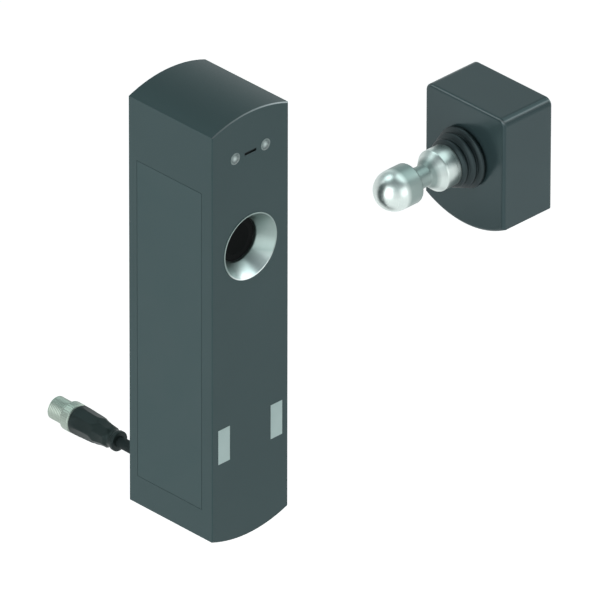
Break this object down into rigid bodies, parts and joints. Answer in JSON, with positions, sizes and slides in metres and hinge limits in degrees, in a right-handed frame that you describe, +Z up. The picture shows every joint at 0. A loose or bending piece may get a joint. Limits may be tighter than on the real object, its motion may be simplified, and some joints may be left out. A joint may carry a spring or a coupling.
{
  "type": "tongue interlock switch",
  "caption": "Guard interlock switch: slim upright housing with an entry funnel, a moulded plug lead, and a separate actuator block with a ball-headed stud in a rubber boot.",
  "frame": {"origin": "centre of the four mounting holes in the back cover, on the cover's outer face", "axes": "+Z up along the housing, +Y out of the back face that is screwed to the guard frame, +X to the right of someone who faces the funnel"},
  "size_m": [0.1894, 0.1693, 0.2302],
  "materials": {
    "housing_metal": "dark grey fine satin coat",
    "panel_film": "dark grey matt film",
    "cover_metal": "brushed, dull",
    "polished_steel": "turned and polished stainless steel",
    "plain_steel": "zinc plated steel",
    "spring_steel": "bright spring wire",
    "black_rubber": "smooth matt rubber",
    "light_lens": "milky clear plastic",
    "window_plastic": "pale grey smooth plastic",
    "inner_plastic": "black moulded plastic",
    "circuit_green": "glass-fibre board",
    "terminal_grey": "moulded plastic",
    "copper_wire": "enamelled copper winding",
    "can_metal": "bare can",
    "gold_plate": "gold plated",
    "cable_jacket": "black smooth jacket",
    "plug_plastic": "black moulded polyurethane",
    "nickel_plate": "nickel plated brass",
    "block_metal": "dark grey glossy coat"
  },
  "bodies": {
    "switch": {"board_screws": "plain_steel", "cable": "cable_jacket", "cable_gland": "black_rubber", "capacitors": "can_metal", "circuit_board": "circuit_green", "cover_gasket": "black_rubber", "cover_screws": "plain_steel", "ejector_spring_left": "spring_steel", "ejector_spring_right": "spring_steel", "ejector_switch": "inner_plastic", "entry_funnel": "polished_steel", "funnel_ring": "plain_steel", "guide_rods": "plain_steel", "housing": "housing_metal", "light_board": "circuit_green", "light_board_screws": "plain_steel", "light_sources": "terminal_grey", "lock_spring": "spring_steel", "lock_switch": "inner_plastic", "plug_carrier": "inner_plastic", "plug_grip": "plug_plastic", "plug_pins": "gold_plate", "reader_coil": "copper_wire", "rear_cover": "cover_metal", "receiver_block": "cover_metal", "receiver_screws": "plain_steel", "relays": "inner_plastic", "side_panel": "panel_film", "solenoid_bobbin": "inner_plastic", "solenoid_coil": "copper_wire", "solenoid_yoke": "plain_steel", "status_light_left": "light_lens", "status_light_right": "light_lens", "terminal_block": "terminal_grey", "window_left": "window_plastic", "window_right": "window_plastic"},
    "ejector": {"ejector": "inner_plastic", "ejector_pad": "black_rubber"},
    "lock": {"lock_blade": "plain_steel", "armature": "plain_steel", "link_pin": "plain_steel"},
    "actuator": {"actuator_block": "block_metal", "actuator_plate": "block_metal", "plate_screws": "plain_steel", "pivot_seat": "inner_plastic", "coded_tag": "inner_plastic", "rubber_boot": "black_rubber", "centring_spring": "spring_steel"},
    "stud": {"ball_stud": "polished_steel", "tail_washer": "plain_steel", "tail_nut": "plain_steel"},
    "coupling_nut": {"plug_nut": "nickel_plate"}
  },
  "joints": [
    {"name": "ejector_slide", "type": "slide", "parent": "switch", "child": "ejector", "axis": [0, 1, 0], "range_m": [0, 0.0308], "stiffness_N_per_m": 120, "springref_m": -0.02, "deforming": ["ejector_spring_left", "ejector_spring_right"]},
    {"name": "lock_lift", "type": "slide", "parent": "switch", "child": "lock", "axis": [0, 0, 1], "range_m": [0, 0.008], "stiffness_N_per_m": 150, "springref_m": -0.008, "deforming": ["lock_spring"]},
    {"name": "actuator_swing", "type": "hinge", "parent": "ejector", "child": "actuator", "pos_m": [0.047, -0.0188, 0.0421], "axis": [0, 0, 1], "range_deg": [-90, 0]},
    {"name": "stud_tilt", "type": "hinge", "parent": "actuator", "child": "stud", "pos_m": [0.1371, -0.0658, 0.0421], "axis": [0, 1, 0], "range_deg": [-4, 4], "stiffness_Nm_per_rad": 10, "deforming": ["rubber_boot", "centring_spring"]},
    {"name": "nut_spin", "type": "hinge", "parent": "switch", "child": "coupling_nut", "pos_m": [0, 0.0328, -0.10282], "axis": [0, 0.9999, 0.0109], "continuous": true}
  ]
}
